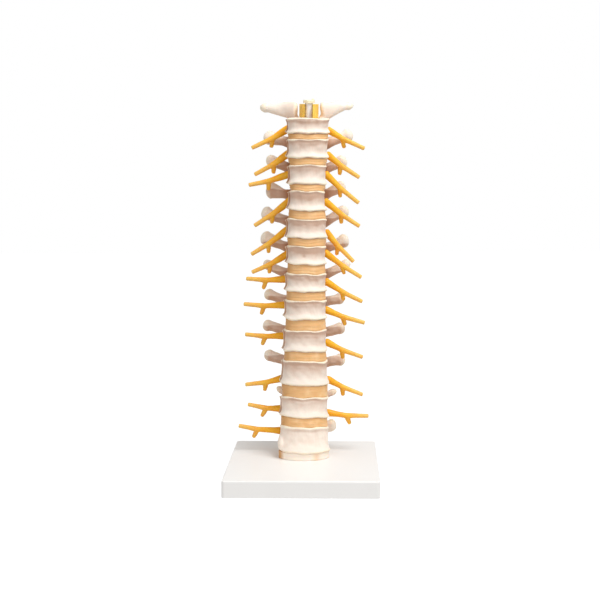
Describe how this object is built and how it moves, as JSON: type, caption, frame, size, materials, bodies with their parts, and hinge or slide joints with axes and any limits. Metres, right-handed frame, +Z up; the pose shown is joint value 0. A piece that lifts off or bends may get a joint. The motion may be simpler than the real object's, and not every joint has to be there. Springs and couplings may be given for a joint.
{
  "type": "thoracic spine anatomy model",
  "caption": "Life-size thoracic spine on a flat stand: bone vertebrae threaded on a rod, with soft discs, a dural sleeve and forked nerve stubs at the sides.",
  "frame": {"origin": "centre of the stand's flat underside", "axes": "+Z up along the column, -Y towards the front of the spine, where the bodies face, and +X to the viewer's right from the front"},
  "size_m": [0.128, 0.14, 0.3237],
  "materials": {
    "bone": "off-white moulded bone with a satin sheen and pinkish-brown shading",
    "disc": "tan soft vinyl with fine level streaks",
    "nerve": "orange-yellow soft vinyl, slightly glossy",
    "dura": "orange soft vinyl, slightly glossy",
    "rod": "white painted, with a faint lilac tint",
    "cap": "pale moulded plastic",
    "stand": "smooth white, satin",
    "steel": "zinc-plated steel"
  },
  "bodies": {
    "root": {"base_plate": "stand", "fixing_screw": "steel", "screw_washer": "steel", "support_rod": "rod", "rod_cap": "cap", "dural_sleeve": "dura", "foot_disc": "disc", "vertebra_t1": "bone", "disc_t1": "disc", "nerve_t1_right": "nerve", "nerve_t1_left": "nerve", "vertebra_t2": "bone", "disc_t2": "disc", "nerve_t2_right": "nerve", "nerve_t2_left": "nerve", "vertebra_t3": "bone", "disc_t3": "disc", "nerve_t3_right": "nerve", "nerve_t3_left": "nerve", "vertebra_t4": "bone", "disc_t4": "disc", "nerve_t4_right": "nerve", "nerve_t4_left": "nerve", "vertebra_t5": "bone", "disc_t5": "disc", "nerve_t5_right": "nerve", "nerve_t5_left": "nerve", "vertebra_t6": "bone", "disc_t6": "disc", "nerve_t6_right": "nerve", "nerve_t6_left": "nerve", "vertebra_t7": "bone", "disc_t7": "disc", "nerve_t7_right": "nerve", "nerve_t7_left": "nerve", "vertebra_t8": "bone", "disc_t8": "disc", "nerve_t8_right": "nerve", "nerve_t8_left": "nerve", "vertebra_t9": "bone", "disc_t9": "disc", "nerve_t9_right": "nerve", "nerve_t9_left": "nerve", "vertebra_t10": "bone", "disc_t10": "disc", "nerve_t10_right": "nerve", "nerve_t10_left": "nerve", "vertebra_t11": "bone", "disc_t11": "disc", "nerve_t11_right": "nerve", "nerve_t11_left": "nerve", "vertebra_t12": "bone", "nerve_t12_left": "nerve"}
  },
  "joints": []
}
